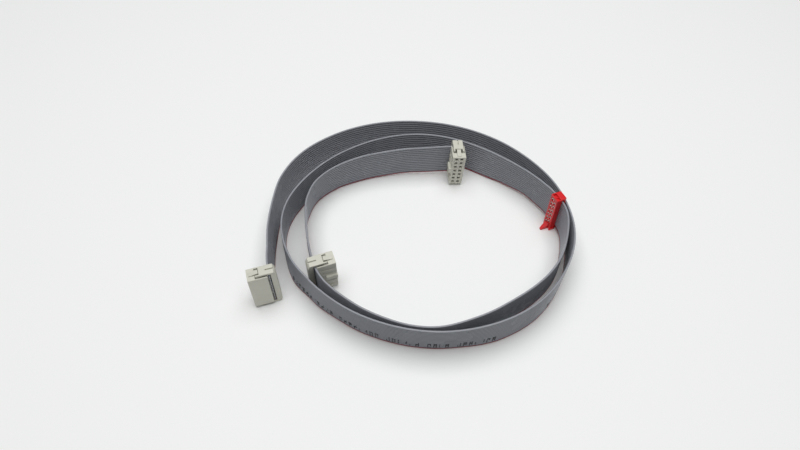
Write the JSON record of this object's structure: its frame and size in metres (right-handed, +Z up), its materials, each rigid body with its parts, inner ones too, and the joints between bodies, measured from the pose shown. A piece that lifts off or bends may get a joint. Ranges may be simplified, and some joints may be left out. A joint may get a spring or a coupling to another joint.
{
  "type": "flat ribbon cable with crimped-on connectors",
  "caption": "Grey flat ribbon cable lying on its edge in loose turns, with keyed grey header sockets and a thin red board connector clamped across it.",
  "frame": {"origin": "middle of the footprint of the coiled cable, on the surface that the connectors stand on", "axes": "+Z up, +X along the longer way of the loop, +Y towards the side where the inner end socket is clamped, whose mating face looks along -Y"},
  "size_m": [0.1415, 0.1208, 0.0207],
  "materials": {
    "ribbon": "soft extruded PVC, satin",
    "grey_moulding": "moulded, fine matte",
    "red_moulding": "moulded, slight gloss",
    "tin_plate": "tin plated spring strip"
  },
  "bodies": {
    "root": {"flat_cable": "ribbon", "outer_end_socket_body": "grey_moulding", "outer_end_socket_cover": "grey_moulding", "outer_end_contacts_keyed_side": "tin_plate", "outer_end_contacts_plain_side": "tin_plate", "middle_socket_body": "grey_moulding", "middle_socket_cover": "grey_moulding", "middle_contacts_keyed_side": "tin_plate", "middle_contacts_plain_side": "tin_plate", "inner_end_socket_body": "grey_moulding", "inner_end_socket_cover": "grey_moulding", "inner_end_contacts_keyed_side": "tin_plate", "inner_end_contacts_plain_side": "tin_plate", "red_connector_body": "red_moulding", "red_connector_cover": "red_moulding", "red_connector_contacts_left_side": "tin_plate", "red_connector_contacts_right_side": "tin_plate"}
  },
  "joints": []
}
